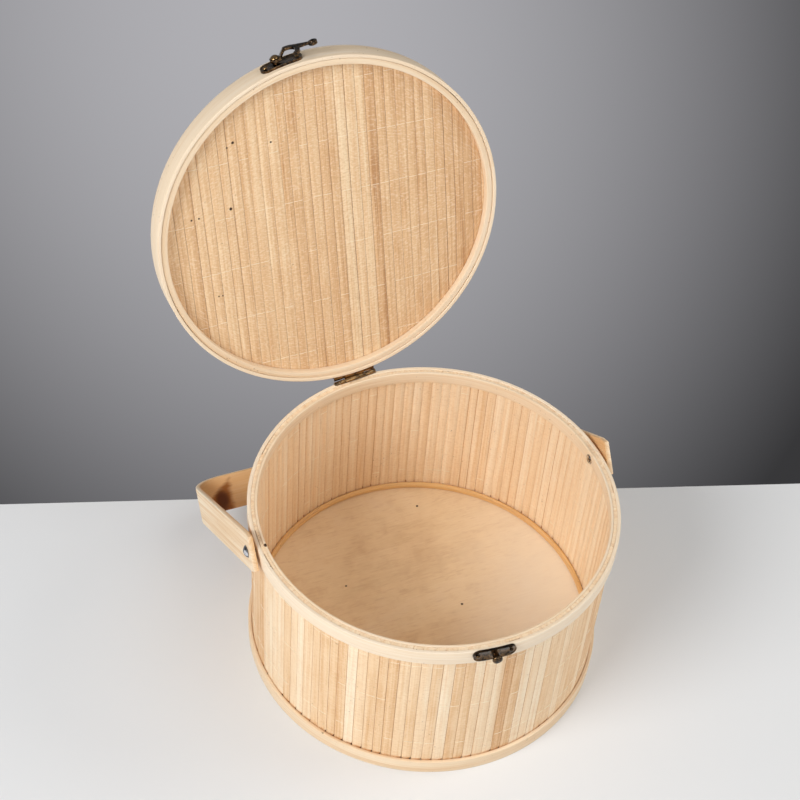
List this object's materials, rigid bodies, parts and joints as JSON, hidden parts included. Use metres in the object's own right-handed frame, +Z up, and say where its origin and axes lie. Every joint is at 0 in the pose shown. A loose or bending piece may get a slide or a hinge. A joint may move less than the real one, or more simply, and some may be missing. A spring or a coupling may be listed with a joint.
{
  "type": "lidded slat basket",
  "caption": "Round straight-walled bamboo slat basket with a hinged slat lid standing open, a bronze swing-hook latch and a bent strip bail handle laid back behind it.",
  "frame": {"origin": "on the basket's axis at its underside", "axes": "+Z up; the latch faces -Y and the hinge is at +Y; +X is on the right seen from the latch"},
  "size_m": [0.241, 0.2876, 0.341],
  "materials": {
    "floor_board": "plain sanded plywood",
    "slats": "split bamboo, unvarnished",
    "hoops": "bent bamboo strip, sanded",
    "handle": "bent bamboo strip, sanded",
    "bronze": "antique bronze, dark",
    "bronze_pins": "antique bronze, rubbed",
    "rivet_steel": "satin steel"
  },
  "bodies": {
    "basket": {"base_board": "floor_board", "floor_bead": "hoops", "foot_ring": "hoops", "wall_slats": "slats", "foot_hoop": "hoops", "rim_hoop": "hoops", "rim_band": "hoops", "handle_rivets": "rivet_steel", "keeper_plate": "bronze", "keeper_knob": "bronze", "keeper_nails": "bronze_pins", "hinge_body_leaf": "bronze", "hinge_pin": "bronze_pins", "hinge_body_nails": "bronze_pins"},
    "lid": {"lid_hoop": "hoops", "lid_ring": "hoops", "lid_core": "floor_board", "lid_under_slats": "slats", "lid_top_slats": "slats", "hinge_lid_leaf": "bronze", "hinge_lid_nails": "bronze_pins", "hook_plate": "bronze", "hook_post": "bronze_pins", "hook_plate_nails": "bronze_pins"},
    "hook": {"hook": "bronze"},
    "handle": {"handle_strip": "handle"}
  },
  "joints": [
    {"name": "lid_hinge", "type": "hinge", "parent": "basket", "child": "lid", "pos_m": [-0.00914, 0.10882, 0.12105], "axis": [0.9944, 0.0835, 0.0645], "range_deg": [0, 103]},
    {"name": "hook_swing", "type": "hinge", "parent": "lid", "child": "hook", "pos_m": [-0.04488, 0.16383, 0.3317], "axis": [0.2533, -0.212, -0.9439], "range_deg": [0, 69.36]},
    {"name": "handle_swing", "type": "hinge", "parent": "basket", "child": "handle", "pos_m": [0, 0.00302, 0.1154], "axis": [1, 0, 0], "range_deg": [0, 125.72]}
  ],
  "couplings": [
    {"joint": "handle_swing", "follows": "lid_hinge", "ratio": 1.2206}
  ]
}
